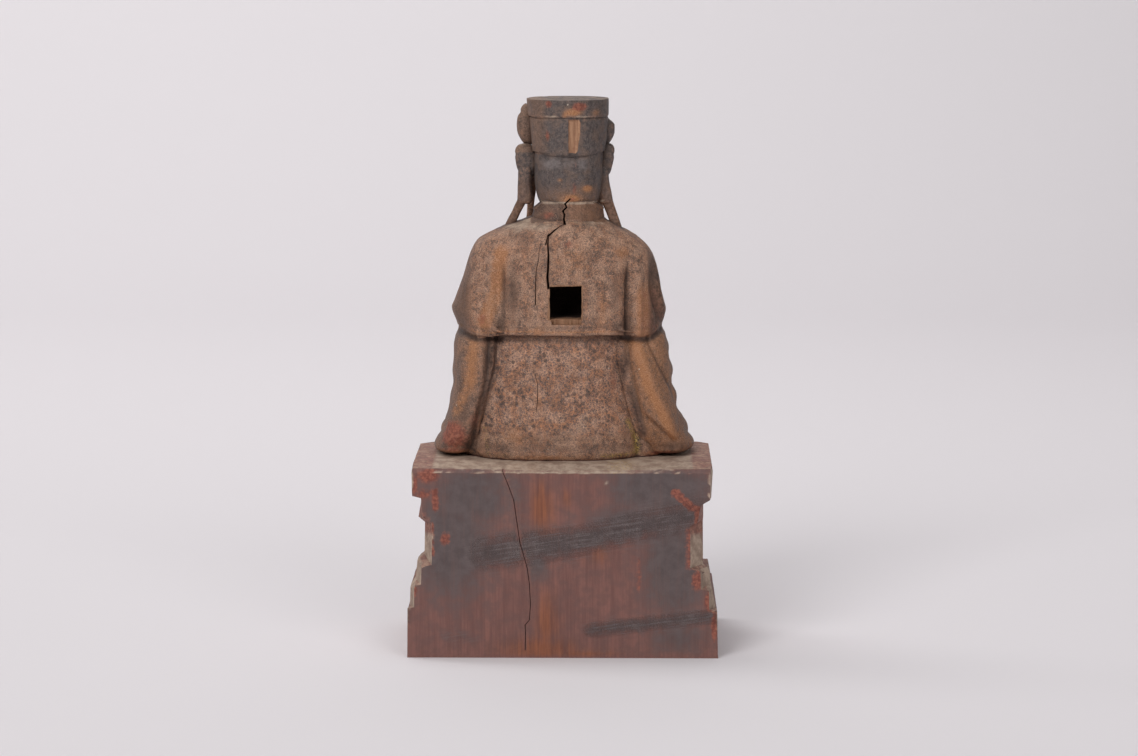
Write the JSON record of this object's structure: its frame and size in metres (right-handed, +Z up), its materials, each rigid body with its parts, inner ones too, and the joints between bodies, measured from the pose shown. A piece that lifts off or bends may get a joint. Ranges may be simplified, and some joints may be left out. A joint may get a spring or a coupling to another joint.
{
  "type": "seated deity figure",
  "caption": "Carved and lacquered wooden seated deity in a tall hat and shoulder cape, one piece with its stepped plinth, with an open square recess in the back.",
  "frame": {"origin": "middle of the plinth's underside, on the surface it stands on", "axes": "+Z up; -Y the way the figure faces; +X to the figure's own left, which is the picture's left"},
  "size_m": [0.173, 0.112, 0.308],
  "materials": {
    "lacquered_wood": "aged, crackled lacquer over wood, satin to matte, worn to bare wood in places"
  },
  "bodies": {
    "root": {"deity_figure": "lacquered_wood"}
  },
  "joints": []
}
